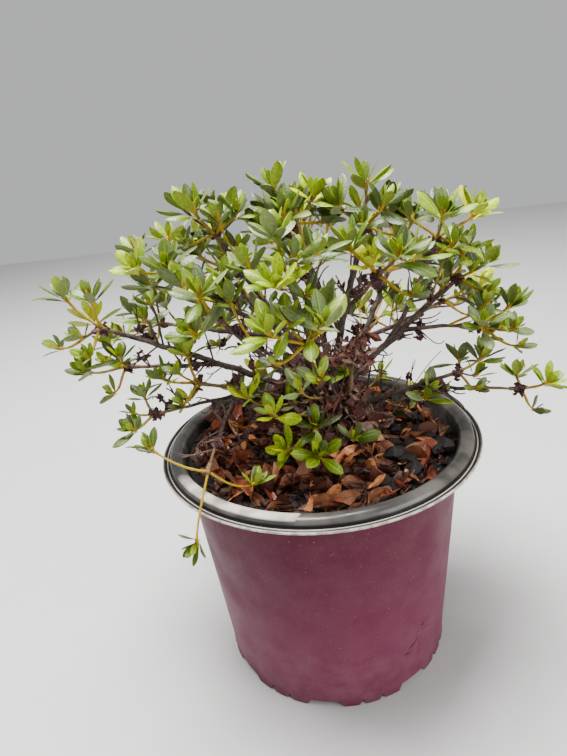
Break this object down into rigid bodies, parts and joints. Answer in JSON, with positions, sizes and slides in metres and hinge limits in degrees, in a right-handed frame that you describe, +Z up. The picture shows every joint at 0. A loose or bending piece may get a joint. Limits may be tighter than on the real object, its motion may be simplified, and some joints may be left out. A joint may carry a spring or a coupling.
{
  "type": "potted azalea",
  "caption": "Low, spreading evergreen azalea shrub with whorls of small leaves, in a round plastic nursery pot filled with bark mix.",
  "frame": {"origin": "centre of the pot's flat underside, on the plane that the pot stands on", "axes": "+Z up; +Y to the back, away from the camera; +X to the right as pictured"},
  "size_m": [0.4233, 0.3266, 0.447],
  "materials": {
    "pot_wall": "matte",
    "pot_rim": "satin",
    "bark_mix": "matte",
    "bark": "matte",
    "leaf": "satin",
    "withered_leaf": "matte"
  },
  "bodies": {
    "root": {"pot": "pot_wall", "bark_mix": "bark_mix", "trunk": "bark", "bough_back_far_left": "bark", "bough_back_far_right": "bark", "bough_back_left": "bark", "bough_back_low_left": "bark", "bough_back_low_right": "bark", "bough_back_mid": "bark", "bough_back_right": "bark", "bough_centre_right": "bark", "bough_crown_top": "bark", "bough_front_left": "bark", "bough_front_low": "bark", "bough_front_up": "bark", "bough_left_far": "bark", "bough_left_low": "bark", "bough_left_lowest": "bark", "bough_left_upper": "bark", "bough_low_left": "bark", "bough_right_low": "bark", "bough_right_mid": "bark", "bough_right_tip": "bark", "bough_right_up": "bark", "bough_sprout_right": "bark", "bough_top_back": "bark", "bough_top_left": "bark", "bough_top_mid": "bark", "bough_top_right": "bark", "bough_trailing": "bark", "foliage_back_far_left": "leaf", "foliage_back_far_right": "leaf", "foliage_back_left": "leaf", "foliage_back_low_left": "leaf", "foliage_back_low_right": "leaf", "foliage_back_mid": "leaf", "foliage_back_right": "leaf", "foliage_centre_right": "leaf", "foliage_crown_top": "leaf", "foliage_front_left": "leaf", "foliage_front_low": "leaf", "foliage_front_up": "leaf", "foliage_left_far": "leaf", "foliage_left_low": "leaf", "foliage_left_lowest": "leaf", "foliage_left_upper": "leaf", "foliage_low_left": "leaf", "foliage_right_low": "leaf", "foliage_right_mid": "leaf", "foliage_right_tip": "leaf", "foliage_right_up": "leaf", "foliage_sprout_front": "leaf", "foliage_sprout_right": "leaf", "foliage_top_back": "leaf", "foliage_top_left": "leaf", "foliage_top_mid": "leaf", "foliage_top_right": "leaf", "foliage_trailing": "leaf", "foliage_withered": "withered_leaf"}
  },
  "joints": []
}
